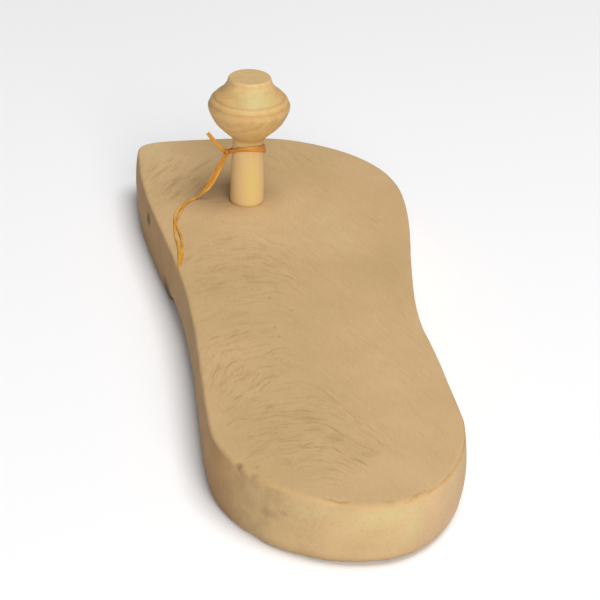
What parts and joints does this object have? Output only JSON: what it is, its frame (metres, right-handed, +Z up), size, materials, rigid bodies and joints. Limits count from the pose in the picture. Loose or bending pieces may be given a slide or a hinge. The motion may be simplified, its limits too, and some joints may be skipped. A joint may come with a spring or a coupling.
{
  "type": "wooden toe-knob sandal",
  "caption": "Flat carved wooden sandal with no straps: a turned knob stands on the sole between the first toes, with a strip of raffia tied round its neck.",
  "frame": {"origin": "on the floor under the middle of the sole's bounding box", "axes": "+Z up, +Y along the sole to the toes, +X to the outer side of the right foot"},
  "size_m": [0.096, 0.252, 0.0697],
  "materials": {
    "sole_wood": "sanded bare pale wood, dull, with fine darker growth rings",
    "knob_wood": "turned pale wood, smooth, with a soft sheen",
    "raffia": "orange-brown raffia strip, fibrous, with a soft sheen"
  },
  "bodies": {
    "root": {"sole": "sole_wood", "toe_knob": "knob_wood", "raffia_tie": "raffia", "raffia_tail": "raffia"}
  },
  "joints": []
}
